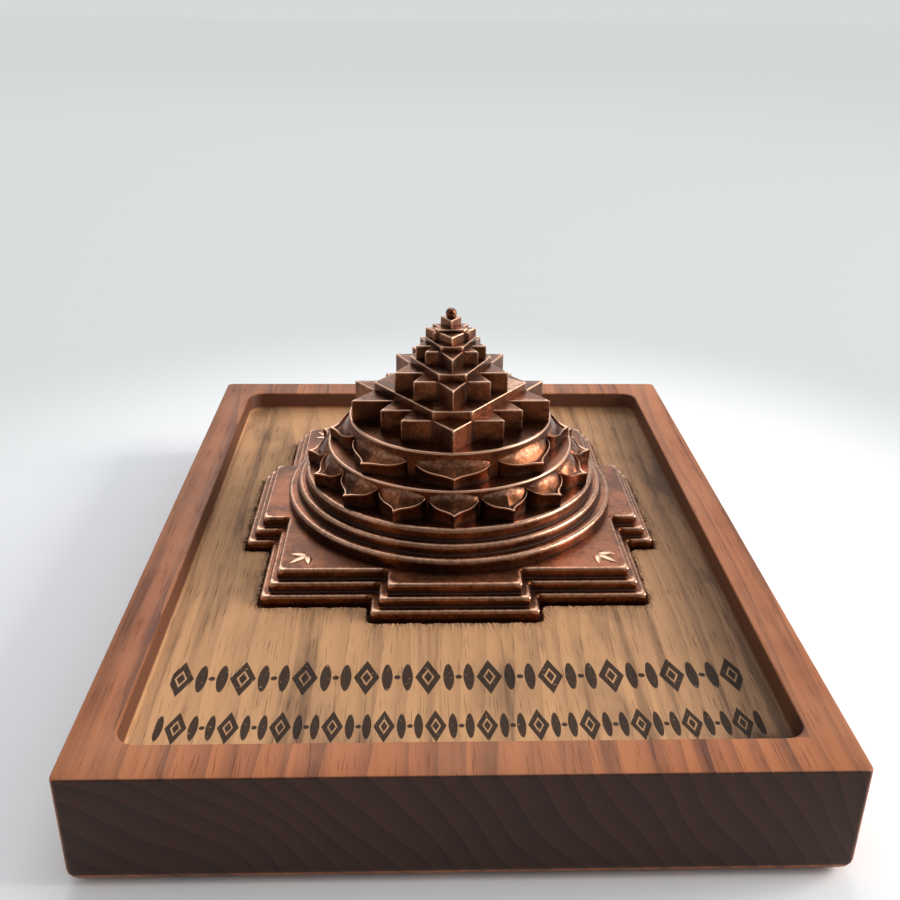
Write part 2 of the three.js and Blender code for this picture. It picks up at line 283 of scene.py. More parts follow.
def wood_material(look):
    """Grain is the distance from a far pith line along Y, wandered by noise; pores are stretched noise."""
    s = Shader("tray_wood")
    place = s.place()
    x, y, z = s.parts(place)
    wander = s.noise(s.stretched(place, (0.016, 0.004, 0.016)), 1.0, 2.0)
    pith_x = x - PITH_X
    pith_z = z - PITH_Z
    ring = ((pith_x * pith_x + pith_z * pith_z) ** 0.5 + wander * 26.0) / RING_WIDTH
    late = ring.fraction() ** 2.4
    streak = s.noise(s.stretched(place, (0.22, 0.006, 0.22)), 1.0, 4.0, 0.6)
    pores = s.noise(s.stretched(place, (3.0, 0.09, 3.0)), 1.0, 2.0, 0.5)
    pore = pores.rise(0.60, 0.70)
    cloud = s.noise(place, 0.035, 3.0)
    half_y = float(TRAY_HIGH[1])
    rim_top = float(TRAY_HIGH[2])
    floor_height = rim_top - look.recess_depth
    end = abs(y).rise(half_y - 0.35, half_y - 0.1)
    recess_x = float(TRAY_HIGH[0]) - look.side_rim
    recess_y = half_y - look.end_rim
    in_x = abs(x).rise(recess_x + 0.25, recess_x - 0.05)
    in_y = abs(y).rise(recess_y + 0.25, recess_y - 0.05)
    lowest = floor_height - look.recess_depth
    inside = in_x * in_y * z.rise(lowest, lowest + 1)
    low = z.rise(floor_height + 1.4, floor_height + 0.2)
    recess = inside * low

    dark = (late * 0.55 + streak.rise(0.42, 0.72) * 0.75 + pore * 0.35).smaller(1.0)
    tone = s.mix(dark, tuple(look.wood), tuple(look.wood_dark))
    warm = s.mix(cloud.rise(0.35, 0.7) * 0.4, tone, WARM_WOOD)
    stain = s.noise(s.stretched(place, (0.05, 0.018, 0.05)), 1.0, 4.0, 0.6)
    right_side = x.rise(38.0, 62.0) * 0.55
    floor_dark = (late * 0.25 + streak.rise(0.46, 0.72) * 0.6 + pore * 0.4 + stain.rise(0.48, 0.7) * 0.5
                  + right_side)
    floor_tone = s.mix(floor_dark.smaller(1.0), tuple(look.floor_wood), FLOOR_DARK)
    wall_tone = s.mix(inside * (1 - low) * z.rise(rim_top, rim_top - 0.6), warm, WALL_DARK)
    with_floor = s.mix(recess, wall_tone, floor_tone)

    corner_x = x - SCORCH_X
    corner_y = y - SCORCH_Y
    scorch_noise = s.noise(place, 0.12, 3.0)
    reach = (corner_x * corner_x * 0.35 + corner_y * corner_y) ** 0.5 + scorch_noise * 9.0
    scorch = reach.rise(13.0, 5.0) * inside * 0.85
    # Frayed fibres at the torn edge, darkened down the pocket wall with painted shade in the gap
    torn = s.attribute("torn")
    fibres = s.noise(s.stretched(place, (1.6, 0.25, 1.6)), 1.0, 3.0)
    frayed_and_gap_shade = (torn * fibres.rise(0.40, 0.62)).smaller(1.0)
    with_torn_and_gap_shade = s.mix(frayed_and_gap_shade * 0.75, with_floor, TORN_AND_GAP_SHADE)
    first, second = (motif_row(x, y, row) for row in BURNT_ROWS)
    char = s.noise(place, 1.1, 3.0).rise(0.24, 0.38)
    burn = first.larger(second) * char * recess
    with_burn = s.mix(burn * 0.94, s.mix(scorch, with_torn_and_gap_shade, tuple(look.burnt)), tuple(look.burnt))
    end_ring = (ring.fraction() ** 1.6) * 0.6 + cloud * 0.3
    end_tone = s.mix(end_ring.smaller(1.0), tuple(look.end_wood), END_DARK)
    whole = s.mix(end, with_burn, end_tone)

    rough = 0.46 + pore * 0.2 + recess * 0.26 + streak * 0.08 + burn * 0.1
    height = (1 - pore) * 0.5 + streak * 0.35 + late * 0.15 - burn * 0.8 + frayed_and_gap_shade * 0.6 + end * cloud
    normal = s.bump(height, 0.16, 0.8)
    return s.finish(Base_Color=whole, Roughness=rough, Metallic=0.0, Specular_IOR_Level=0.25, Normal=normal)


def copper_material(look):
    """Patina is mixed by two noises; the wear attribute brightens rubbed edges and darkens corners."""
    s = Shader("aged_copper")
    place = s.place()
    cloud = s.noise(place, 0.09, 4.0, 0.6)
    mottle = s.noise(place, 0.9, 4.0, 0.65)
    grain = s.noise(place, 4.5, 2.0)
    wear_and_painted_light = s.attribute("wear_and_painted_light")
    # Rubbed edges with a painted highlight, where the mark is above 0
    rubbed_and_highlit = (wear_and_painted_light + (mottle - 0.5) * 0.5).rise(0.30, 0.85)
    # Grime with painted shade in corners, feet and grooves, where the mark is below 0
    dirt_and_painted_shade = (0 - wear_and_painted_light + (mottle - 0.5) * 0.4).rise(0.15, 0.9)
    thin = (cloud * 0.65 + mottle * 0.35).rise(0.42, 0.62)
    tone = s.mix(thin * 0.7, tuple(look.patina), tuple(look.warm))
    spotted = s.mix(mottle.rise(0.60, 0.72) * 0.5, tone, COPPER_SPOT)
    with_grime_and_shade = s.mix(dirt_and_painted_shade * 0.8, spotted, tuple(look.grime_and_painted_shade))
    whole = s.mix(rubbed_and_highlit * 0.75, with_grime_and_shade, tuple(look.bright))
    rough = 0.27 + mottle * 0.14 + dirt_and_painted_shade * 0.25 - rubbed_and_highlit * 0.04
    metal = 1.0 - dirt_and_painted_shade * 0.35
    height = mottle * 0.6 + grain * 0.4
    normal = s.bump(height, 0.07, 0.6)
    return s.finish(Base_Color=whole, Roughness=rough, Metallic=metal, Normal=normal)


class Shell:
    """Vertices in millimetres, faces as lists of indices, and one wear value for each vertex."""

    def __init__(self, vertices, faces, wear_and_painted_light):
        self.vertices = np.asarray(vertices, dtype=float)
        self.faces = faces
        self.wear_and_painted_light = np.asarray(wear_and_painted_light, dtype=float)


def together(shells):
    """One shell from several, with each one's indices moved past those before it."""
    faces = []
    start = 0
    for shell in shells:
        faces += [[start + i for i in face] for face in shell.faces]
        start += len(shell.vertices)
    vertices = np.concatenate([shell.vertices for shell in shells])
    return Shell(vertices, faces, np.concatenate([shell.wear_and_painted_light for shell in shells]))


def ring_faces(rings, points):
    """Quads between neighbouring closed rings that run counter-clockwise and climb outside."""
    i, j = np.meshgrid(np.arange(rings - 1), np.arange(points), indexing="ij")
    k = (j + 1) % points
    quads = np.stack([i * points + j, i * points + k, (i + 1) * points + k, (i + 1) * points + j], axis=-1)
    return quads.reshape(-1, 4).tolist()


def capped(rings, wear_and_painted_light):
    """A closed shell from an array of rings (ring, point, xyz), with a flat face on both end rings."""
    count, points = rings.shape[:2]
    faces = ring_faces(count, points)
    faces.append(list(range(points))[::-1])
    faces.append(list(range((count - 1) * points, count * points)))
    return Shell(rings.reshape(-1, 3), faces, wear_and_painted_light.reshape(-1))


def edge_profile(inset, top, radius, wear_and_painted_light=1.0, steps=4):
    """(inset, height, wear) rows round a top edge: a quarter circle with a plain row on each side."""
    turns = np.linspace(0, pi / 2, steps + 1)
    rows = [(inset, top - 2.2 * radius, 0.0)]
    rows += [(inset + radius * (1 - cos(t)), top - radius * (1 - sin(t)), wear_and_painted_light) for t in turns]
    rows.append((inset + 2.2 * radius, top, 0.0))
    return rows


def eased_path(corners, ease, steps=3):
    """A closed outline with each corner replaced by a parabola, and a plain point on both sides of it.

    Also gives each point's wear: 1 on corners that stand out, -1 on corners that turn in.
    """
    corners = np.asarray(corners, dtype=float)
    before = np.roll(corners, 1, axis=0) - corners
    after = np.roll(corners, -1, axis=0) - corners
    near = np.minimum(np.linalg.norm(before, axis=1), np.linalg.norm(after, axis=1))
    reach = np.minimum(ease, near * 0.22)[:, None]
    back = before / np.linalg.norm(before, axis=1)[:, None] * reach
    on = after / np.linalg.norm(after, axis=1)[:, None] * reach
    out = np.sign(after[:, 1] * before[:, 0] - after[:, 0] * before[:, 1])
    t = np.linspace(0, 1, steps + 1)[None, :, None]
    curve = corners[:, None] + (1 - t) ** 2 * back[:, None] + t ** 2 * on[:, None]
    points = np.concatenate([(corners + back * 2.1)[:, None], curve, (corners + on * 2.1)[:, None]], axis=1)
    side = np.zeros((len(corners), 1))
    mark = np.concatenate([side, np.repeat(-out[:, None], steps + 1, axis=1), side], axis=1)
    return points.reshape(-1, 2), mark.reshape(-1)


def carried(corners, ease, corner_wear_and_painted_light, profile, middle, foot):
    """A profile of (inset, height, wear) carried round an outline.

    Each row moves the sharp corners in along their mitres and then eases them, so no ring crosses itself.
    """
    edge = np.roll(corners, -1, axis=0) - corners
    edge = edge / np.linalg.norm(edge, axis=1)[:, None]
    normal = np.stack([edge[:, 1], -edge[:, 0]], axis=1)
    earlier = np.roll(normal, 1, axis=0)
    mitre = (normal + earlier) / (1 + (normal * earlier).sum(axis=1))[:, None]
    rows = np.array(profile)
    mark = eased_path(corners, ease)[1] * corner_wear_and_painted_light
    flat = np.stack([eased_path(corners - inset * mitre, ease)[0] for inset in rows[:, 0]])
    flat = flat + np.asarray(middle)
    height = np.broadcast_to((foot + rows[:, 1])[:, None, None], (*flat.shape[:2], 1))
    wear_and_painted_light = np.clip(rows[:, 2][:, None] + mark[None], -1, 1)
    return capped(np.concatenate([flat, height], axis=2), wear_and_painted_light)


def turned(profile, middle, foot, steps=160):
    """A profile of (radius, height, wear) turned about an upright line."""
    angle = np.arange(steps) * TAU / steps
    rows = np.array(profile)
    circle = np.stack([np.cos(angle), np.sin(angle)], axis=1)
    flat = rows[:, 0, None, None] * circle[None] + np.asarray(middle)
    height = np.broadcast_to((foot + rows[:, 1])[:, None, None], (*flat.shape[:2], 1))
    wear_and_painted_light = np.broadcast_to(rows[:, 2][:, None], flat.shape[:2])
    return capped(np.concatenate([flat, height], axis=2), wear_and_painted_light)


def round_edge(radius, top, ease, wear_and_painted_light=1.0):
    """(radius, height, wear) rows round a turned step's top edge."""
    return [(radius - inset, height, mark) for inset, height, mark in edge_profile(0, top, ease, wear_and_painted_light)]


def make_piece(name, shell, node, body, material, smooth_to=38, attribute="wear_and_painted_light"):
    """Puts a shell into a mesh object in metres, and gives it to the body that carries it."""
    mesh = bpy.data.meshes.new(name)
    mesh.from_pydata((shell.vertices * MM).tolist(), [], shell.faces)
    mesh.validate()
    # The mark drives wear and torn fibres, and painted highlight and shade, in the shader
    marks = mesh.attributes.new(attribute, "FLOAT", "POINT")
    marks.data.foreach_set("value", shell.wear_and_painted_light.astype(np.float32))
    mesh.shade_smooth()
    mesh.set_sharp_from_angle(angle=radians(smooth_to))
    mesh.materials.append(material)
    made = bpy.data.objects.new(name, mesh)
    bpy.context.scene.collection.objects.link(made)
    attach(made, body)
    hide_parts(node)
    return made


def gate_corners(half, reach, gate):
    """The square with a gate in the middle of each side, counter-clockwise."""
    quarter = np.array([
        [gate, -half - reach], [gate, -half], [half, -half], [half, -gate], [half + reach, -gate]])
    turns = [np.array([[cos(a), sin(a)], [-sin(a), cos(a)]]) for a in (0, pi / 2, pi, 1.5 * pi)]
    return np.concatenate([quarter @ turn for turn in turns])


def rounded_rectangle(half_x, half_y, radius, steps=24):
    """A rectangle with quarter-circle corners, counter-clockwise."""
    turn = np.linspace(0, pi / 2, steps)
    arcs = []
    for k, (sx, sy) in enumerate([(1, 1), (-1, 1), (-1, -1), (1, -1)]):
        angle = turn + k * pi / 2
        centre = [sx * (half_x - radius), sy * (half_y - radius)]
        arcs.append(np.stack([np.cos(angle), np.sin(angle)], axis=1) * radius + centre)
    return np.concatenate(arcs)


def polar_reach(outline, angles):
    """How far an outline lies from the yantra's middle in each direction."""
    closed = np.concatenate([outline, outline[:1]]) - MIDDLE
    share = np.linspace(0, 1, 60, endpoint=False)[None, :, None]
    dense = (closed[:-1, None] * (1 - share) + closed[1:, None] * share).reshape(-1, 2)
    angle = np.mod(np.arctan2(dense[:, 1], dense[:, 0]), TAU)
    order = np.argsort(angle)
    return np.interp(angles, angle[order], np.hypot(*dense.T)[order], period=TAU)


def wandering(angles, seed, waves, lowest, highest):
    """A smooth closed wave between -1 and 1: a sum of sines of whole frequencies with seeded phases."""
    rng = np.random.default_rng(seed)
    count = rng.integers(lowest, highest, waves)[:, None]
    phase = rng.uniform(0, TAU, waves)[:, None]
    return np.sin(count * angles[None] + phase).mean(axis=0) * 1.8


def tray_shell(look, copper):
    """The tray as closed rings seen from the yantra's middle.

    They run from the foot up the sides and over the rim, and down the recess to its torn edge and the pocket.
    """
    corner = TRAY_CORNER
    half_x, half_y, rim_top = (float(v) for v in TRAY_HIGH - BOX_MARGIN)
    floor = rim_top - look.recess_depth
    pocket_floor = float(BASE_LOW[2])
    half = float(BASE_HIGH[0] - BASE_LOW[0]) / 2 - copper.gate_reach
    gap = look.pocket_gap
    pocket = gate_corners(half + gap, copper.gate_reach, copper.gate_half + gap) + MIDDLE
    pocket_path = eased_path(pocket - MIDDLE, 1.6)[0] + MIDDLE
    keys = np.concatenate([pocket_path, rounded_rectangle(half_x, half_y, corner, 6)]) - MIDDLE
    exact = np.mod(np.arctan2(keys[:, 1], keys[:, 0]), TAU)
    angles = np.unique(np.round(np.concatenate([np.arange(1440) * TAU / 1440, exact]), 5))
    direction = np.stack([np.cos(angles), np.sin(angles)], axis=1)
    rings = []
    torn = []

    def ring(reach, height, mark=0.0):
        flat = direction * reach[:, None] + MIDDLE
        level = np.broadcast_to(height, reach.shape)
        rings.append(np.concatenate([flat, level[:, None]], axis=1))
        torn.append(np.broadcast_to(mark, reach.shape))

    def box_reach(inset_x, inset_y, radius):
        return polar_reach(rounded_rectangle(half_x - inset_x, half_y - inset_y, radius), angles)

    foot = look.foot_round
    for turn in np.linspace(0, pi / 2, 7):
        inset = foot * (1 - sin(turn))
        ring(box_reach(inset, inset, corner), foot * (1 - cos(turn)))
    ease = look.edge_round
    for turn in np.linspace(0, pi / 2, 4):
        inset = ease * (1 - cos(turn))
        ring(box_reach(inset, inset, corner), rim_top - ease * (1 - sin(turn)))
    for turn in np.linspace(0, pi / 2, 4):
        back = ease * (1 - sin(turn))
        reach = box_reach(look.side_rim - back, look.end_rim - back, look.recess_corner)
        ring(reach, rim_top - ease * (1 - cos(turn)))
    for turn in np.linspace(0, pi / 2, 4):
        drawn = FLOOR_FILLET * (1 - cos(turn))
        reach = box_reach(look.side_rim + drawn, look.end_rim + drawn, look.recess_corner)
        ring(reach, floor + FLOOR_FILLET * (1 - sin(turn)))
    wall = reach
    edge = polar_reach(pocket_path, angles)
    wander = wandering(angles, 3, 9, 20, 240) + wandering(angles, 5, 9, 200, 700)
    ragged = edge + look.torn * np.clip(wander, -0.4, 2.0)
    fibre = wandering(angles, 8, 14, 150, 700)
    for share in (0.5, 0.22, 0.1):
        ring(edge + (wall - edge) * share, np.full_like(edge, floor))
    # The mark rises to 1 at the torn edge and down the pocket wall, for frayed fibres and painted shade in
    # the gap
    for away, lift in ((2.0, 0.05), (1.0, 0.12), (0.45, 0.2)):
        ring(ragged + away, floor + lift * fibre, 0.3 + 0.7 * (1 - away / 2.2))
    ring(ragged, floor - 0.25 + 0.2 * fibre, 1.0)
    ring(edge + 0.1 * fibre, np.full_like(edge, floor - 1.2), 1.0)
    ring(edge, np.full_like(edge, pocket_floor), 1.0)
    return capped(np.stack(rings), np.stack(torn))


def base_shell(look):
    """Three steps as one profile carried round the gated square."""
    half = float(BASE_HIGH[0] - BASE_LOW[0]) / 2 - look.gate_reach
    corners = gate_corners(half, look.gate_reach, look.gate_half)
    tops = (look.step_low, look.step_low + look.step_middle, float(BASE_HIGH[2] - BASE_LOW[2]))
    # The foot and the foot of each step get grime with painted shade
    profile = [(0.0, 0.0, -0.4)]
    for step, top in enumerate(tops):
        inset = step * look.setback
        if step:
            profile.append((inset - 0.15, tops[step - 1], -0.9))
            profile.append((inset, tops[step - 1] + 0.15, -0.9))
        profile += edge_profile(inset, top, look.edge_round, 0.6)
    return carried(corners, 0.9, 0.35, profile, MIDDLE, float(BASE_LOW[2]))


def leaf_shell(middle, turn, size, width, tall):
    """A raised pointed leaf: half width is sine of its length's share, height a half ellipse across it."""
    along = np.linspace(0, 1, 15)[:, None]
    across = np.linspace(-1, 1, 9)[None, :]
    spread = width / 2 * np.sin(pi * along ** 0.75) ** 0.8
    local_x = (size * along) * np.ones_like(across)
    local_y = spread * across
    swell = np.sin(pi * along) ** 0.5 * np.sqrt(np.maximum(0, 1 - across ** 2))
    upper = np.stack([local_x, local_y, middle[2] + tall * swell], axis=2)
    lower = np.stack([local_x, local_y, np.full_like(local_x, middle[2] - 0.1)], axis=2)
    rows, cols = upper.shape[:2]
    i, j = np.meshgrid(np.arange(rows - 1), np.arange(cols - 1), indexing="ij")
    quads = np.stack([i * cols + j, (i + 1) * cols + j, (i + 1) * cols + j + 1, i * cols + j + 1], axis=-1)
    top = quads.reshape(-1, 4)
    under = top[:, ::-1] + rows * cols
    rim = [(r, 0) for r in range(rows)] + [(rows - 1, c) for c in range(1, cols)]
    rim += [(r, cols - 1) for r in range(rows - 2, -1, -1)] + [(0, c) for c in range(cols - 2, 0, -1)]
    loop = [r * cols + c for r, c in rim]
    below = rows * cols
    walls = [[loop[k], loop[k] + below, loop[k - 1] + below, loop[k - 1]] for k in range(len(loop))]
    flat = np.concatenate([upper, lower]).reshape(-1, 3)
    x = middle[0] + flat[:, 0] * cos(turn) - flat[:, 1] * sin(turn)
    y = middle[1] + flat[:, 0] * sin(turn) + flat[:, 1] * cos(turn)
    placed = np.stack([x, y, flat[:, 2]], axis=1)
    # A painted highlight grows with the swell of the leaf; the underside gets painted shade
    wear_and_painted_light = np.concatenate([(0.2 + 0.8 * swell).reshape(-1), np.full(rows * cols, -0.6)])
    return Shell(placed, top.tolist() + under.tolist() + walls, wear_and_painted_light)


def corner_sprigs(look):
    """A raised bud between two leaves on each corner of the base's top step."""
    top = float(BASE_HIGH[2])
    half = float(BASE_HIGH[0] - BASE_LOW[0]) / 2 - look.gate_reach - 2 * look.setback
    shells = []
    for k in range(4):
        outward = pi / 4 + k * pi / 2
        stem = MIDDLE + np.array([cos(outward), sin(outward)]) * (half * 2 ** 0.5 - 9.5)
        at = (stem[0], stem[1], top)
        shells += [leaf_shell(at, outward + swing, size, 2.0, 0.32) for swing, size in
                   ((0, 6.0), (radians(52), 4.6), (radians(-52), 4.6))]
    return shells


def girdle_shell():
    """Three round steps, each with a rounded edge and a fine groove at its foot."""
    low, high = node_box("mekhala_rings")
    lowest = GIRDLE_STEPS[0][0]
    # The foot and each groove get grime with painted shade
    profile = [(lowest, 0.0, -0.8), (lowest, 0.25, -0.5)]
    under = None
    for radius, top in GIRDLE_STEPS:
        if under:
            profile += [(radius + 0.12, under, -0.9), (radius, under + 0.12, -0.9)]
        profile += round_edge(radius, top or float(high[2] - low[2]), 0.75, 0.62)
        under = top
    return turned(profile, MIDDLE, float(low[2]), 240)


# Drum radius, tip radius, half angle in degrees, rim, horn, crown and bend
OUTER_PETAL = (32.8, 38.7, 10.9, 2.9, 2.2, 6.9, 1.5)
INNER_PETAL = (27.0, 32.5, 20.5, 2.5, 1.9, 6.6, 0.95)
CHEEK_SHARE = 0.56
CHEEK_POWER = 0.6
TIP_POWER = 6
HORN_POWER = 2.5


def petal_shell(petal, turn, foot):
    """One petal as columns of closed loops: root, domed top, groove, raised lip, wall and underside.

    The top falls from the drum to the edge as a half cosine of t to the power bend.
    Its edge is lowest at the tip and climbs by horn to both ends.
    Only its outermost part is drawn to a point.
    """
    drum, tip, half_angle, rim, horn, crown, bend = petal
    spread = np.linspace(-1, 1, 61)
    share = np.sign(spread) * np.abs(spread) ** 1.25
    size = np.abs(share)
    t = np.concatenate([np.linspace(0, 0.7, 8), [0.75, 0.79, 0.83, 0.87, 0.90, 0.93, 0.96, 0.985, 1.0]])
    root = drum - PETAL_ROOT
    cheek = (tip - drum) * CHEEK_SHARE * np.maximum(0, 1 - size ** 3) ** CHEEK_POWER
    point = (tip - drum) * (1 - CHEEK_SHARE) * (1 - size) ** TIP_POWER
    radius = root + (drum - root + cheek)[:, None] * t[None] + point[:, None] * t[None] ** 5
    body = np.sqrt(np.maximum(0, 1 - share ** 2))[:, None]
    brim = (rim + horn * size ** HORN_POWER)[:, None]
    dome = (crown - brim) * body ** 0.8 * 0.5 * (1 + np.cos(pi * t[None] ** bend))
    lip = 0.50 * np.exp(-((0.97 - t[None]) / 0.075) ** 2) * (0.3 + 0.7 * body)
    groove = -0.65 * np.exp(-((t[None] - 0.78) / 0.09) ** 2) * body
    top = np.minimum(brim + dome + lip + groove, crown)
    edge = radius[:, -1]
    wall_radius = np.stack([edge, edge - 0.2, edge - 0.3, edge - 0.35], axis=1)
    level = np.zeros_like(edge)
    wall_height = np.stack([top[:, -1] - 0.25, top[:, -1] - 0.6, level + 0.4, level], axis=1)
    all_radius = np.concatenate([np.full((len(share), 1), root), radius, wall_radius], axis=1)
    all_height = np.concatenate([np.zeros((len(share), 1)), top, wall_height], axis=1) + foot
    angle = (turn + share * radians(half_angle))[:, None]
    x = all_radius * np.sin(angle) + MIDDLE[0]
    y = -all_radius * np.cos(angle) + MIDDLE[1]
    loops = np.stack([x, y, all_height], axis=2)
    # Rubbed lip, and a painted highlight across the middle of the dome
    rubbed_and_highlit = 1.3 * np.exp(-((0.98 - t) / 0.065) ** 4) + 0.45 * np.exp(-((t - 0.45) / 0.25) ** 2)
    # Painted shade in the groove inside the lip
    groove_shade = -0.7 * np.exp(-((t - 0.80) / 0.06) ** 2)
    # The root and the foot of the wall get grime with painted shade
    mark = np.concatenate([[-0.5], rubbed_and_highlit + groove_shade, [1.0, 0.0, -0.6, -0.9]])
    return capped(loops, np.broadcast_to(mark, loops.shape[:2]))


def lotus_shell(node, count, petal):
    """A drum with a ring of petals that spring from its wall, one of them at the front."""
    low, high = node_box(node)
    rise = float(high[2] - low[2])
    foot = float(low[2])
    drum = petal[0]
    # The drum's foot gets grime with painted shade
    profile = [(drum, 0.0, -0.8), (drum, 0.3, -0.5), *round_edge(drum, rise, 0.35, 0.9)]
    petals = [petal_shell(petal, k * TAU / count, foot) for k in range(count)]
    return together([turned(profile, MIDDLE, foot, 240), *petals])


PARTS = 48
RADIUS = 26.9
LEVEL_1, LEVEL_2, LEVEL_3 = 6.24, 11.994, 17.082
LEVEL_6, LEVEL_7, LEVEL_8, LEVEL_9 = 26.34, 30.339, 36.137, 42.13


class Side:
    """A triangle's side: a line whose distance from the middle grows evenly from its apex level."""

    def __init__(self, apex, through):
        width, level = through
        self.apex = apex
        self.slope = width / (level - apex)

    def on(self, level):
        return self.slope * (level - self.apex), level

    def meets(self, other):
        level = (self.slope * self.apex - other.slope * other.apex) / (self.slope - other.slope)
        return self.on(level)


def half_chord(level):
    return (PARTS * level - level ** 2) ** 0.5, level


def tier_outlines():
    """The right halves of every tier's star and plate, from back to front, in parts of the circle."""
    back7 = Side(0, half_chord(LEVEL_7))
    front3 = Side(PARTS, half_chord(LEVEL_3))
    front1 = Side(LEVEL_6, back7.on(LEVEL_2))
    front2 = Side(LEVEL_9, back7.on(LEVEL_3))
    back8 = Side(LEVEL_1, front3.on(LEVEL_7))
    back9 = Side(LEVEL_3, front3.on(LEVEL_8))
    back6 = Side(LEVEL_2, front2.on(LEVEL_6))
    level4 = back6.meets(front1)[1]
    front4 = Side(LEVEL_8, back8.on(level4))
    level5 = back9.meets(front1)[1]
    front5 = Side(LEVEL_7, back6.on(level5))
    fourteen = [
        (0, 0), back7.on(LEVEL_1), front1.on(LEVEL_1), front1.on(LEVEL_2), front2.on(LEVEL_2),
        front2.on(LEVEL_3), front3.on(LEVEL_3), front3.meets(back7), back7.on(LEVEL_7), back8.on(LEVEL_7),
        back8.on(LEVEL_8), back9.on(LEVEL_8), back9.on(LEVEL_9), front3.on(LEVEL_9), (0, PARTS)]
    outer_ten = [
        (0, LEVEL_1), back8.on(LEVEL_2), back7.on(LEVEL_2), front1.on(LEVEL_3), back7.on(LEVEL_3),
        front2.meets(back8), front3.on(LEVEL_7), back9.on(LEVEL_7), front3.on(LEVEL_8), front2.on(LEVEL_8),
        (0, LEVEL_9)]
    inner_ten = [
        (0, LEVEL_2), back6.on(LEVEL_3), back8.on(LEVEL_3), front1.on(level4), front4.on(level4),
        front4.meets(back6), back6.on(LEVEL_6), back9.on(LEVEL_6), front2.on(LEVEL_7), front4.on(LEVEL_7),
        (0, LEVEL_8)]
    eight = [
        (0, LEVEL_3), back9.on(level4), back6.on(level4), front1.on(level5), front5.on(level5),
        front5.meets(back9), front4.on(LEVEL_6), front5.on(LEVEL_6), (0, LEVEL_7)]
    plates = {
        "fourteen": [back7.on(LEVEL_1), back7.meets(front3), front3.on(LEVEL_9)],
        "outer_ten": [back8.on(LEVEL_2), back8.meets(front2), front2.on(LEVEL_8)],
        "inner_ten": [back6.on(LEVEL_3), back6.meets(front4), front4.on(LEVEL_7)],
        "eight": [back9.on(level4), back9.meets(front5), front5.on(LEVEL_6)],
    }
    return {
        "fourteen_triangle_tier": (fourteen, plates["fourteen"], BLOCK_RISES["fourteen"]),
        "outer_ten_tier": (outer_ten, plates["outer_ten"], BLOCK_RISES["outer_ten"]),
        "inner_ten_tier": (inner_ten, plates["inner_ten"], BLOCK_RISES["inner_ten"]),
        "eight_triangle_tier": (eight, plates["eight"], BLOCK_RISES["eight"]),
        "central_triangle": ([front1.on(level5), (0, LEVEL_6)], None, None),
    }


def mirrored(right_half):
    """The whole outline in millimetres, counter-clockwise."""
    part = 2 * RADIUS / PARTS
    right = np.array([(width * part, (PARTS / 2 - level) * part) for width, level in right_half])
    left = right[right[:, 0] > 1e-9][::-1] * [-1, 1]
    return np.concatenate([right, left])[::-1]


def crisp_prism(right_half, bottom, top, ease, foot):
    """An upright block on an outline, with rubbed upper edges and upright corners."""
    # The block's foot gets grime with painted shade, its upper edge rubbing with a painted highlight
    profile = [(0.0, bottom, -0.7), (0.0, bottom + 0.3, -0.25), *edge_profile(0, top, ease, 0.75, 3)]
    return carried(mirrored(right_half), 1.6 * ease, 0.6, profile, MIDDLE, foot)


def triangle_shell(node, look):
    """A ring of triangular blocks under the plate that carries the next ring."""
    star, plate, block_rise = tier_outlines()[node]
    low, high = node_box(node)
    rise = float(high[2] - low[2])
    foot = float(low[2])
    if plate is None:
        return crisp_prism(star, 0, rise, look.crisp_round, foot)
    blocks = crisp_prism(star, 0, block_rise, look.crisp_round, foot)
    cover = crisp_prism(plate, block_rise - 0.1, rise, look.crisp_round, foot)
    return together([blocks, cover])


def bindu_shell():
    """A ball cut by its flat foot: circle rows from the foot's angle to the top."""
    low, high = node_box("bindu")
    radius = float(high[0] - low[0]) / 2
    middle = float(high[2] - low[2]) - radius
    turns = np.linspace(-np.arcsin(middle / radius), pi / 2 - 0.03, 22)
    profile = [(radius * cos(t), middle + radius * sin(t), 0.35) for t in turns]
    return turned(profile, (low + high)[:2] / 2, float(low[2]), 40)


def copper_operator(node, words, build):
    """An operator class that makes one copper piece in place of its frame node."""
    def execute(self, context):
        look = context.scene.yantra_copper
        material = bpy.data.materials.get("aged_copper") or copper_material(look)
        make_piece(f"{node}_cast", build(look), node, "yantra", material)
        return {"FINISHED"}

    names = {"bl_idname": f"yantra.make_{node}", "bl_label": words, "__doc__": words, "execute": execute}
    return type(f"YANTRA_OT_{node}", (Operator,), names)


COPPER_OPERATORS = [
    copper_operator("bhupura_base", "Make the gated base with its corner sprigs",
                    lambda look: together([base_shell(look), *corner_sprigs(look)])),
    copper_operator("mekhala_rings", "Make the three round girdles", lambda look: girdle_shell()),
    copper_operator("sixteen_petal_tier", "Make the sixteen-petal lotus",
                    lambda look: lotus_shell("sixteen_petal_tier", 16, OUTER_PETAL)),
    copper_operator("eight_petal_tier", "Make the eight-petal lotus",
                    lambda look: lotus_shell("eight_petal_tier", 8, INNER_PETAL)),
    *[copper_operator(node, f"Make the {node.replace('_', ' ')}",
                      lambda look, node=node: triangle_shell(node, look))
      for node in ("fourteen_triangle_tier", "outer_ten_tier", "inner_ten_tier", "eight_triangle_tier",
                   "central_triangle")],
    copper_operator("bindu", "Make the bindu ball", lambda look: bindu_shell()),
]


class YANTRA_OT_tray(Operator):
    """Make the routed wooden tray"""
    bl_idname = "yantra.make_tray"
    bl_label = "Make the tray"

    def execute(self, context):
        look = context.scene.yantra_tray
        shell = tray_shell(look, context.scene.yantra_copper)
        make_piece("tray_carved", shell, "wooden_tray", "tray", wood_material(look), 30, "torn")
        return {"FINISHED"}


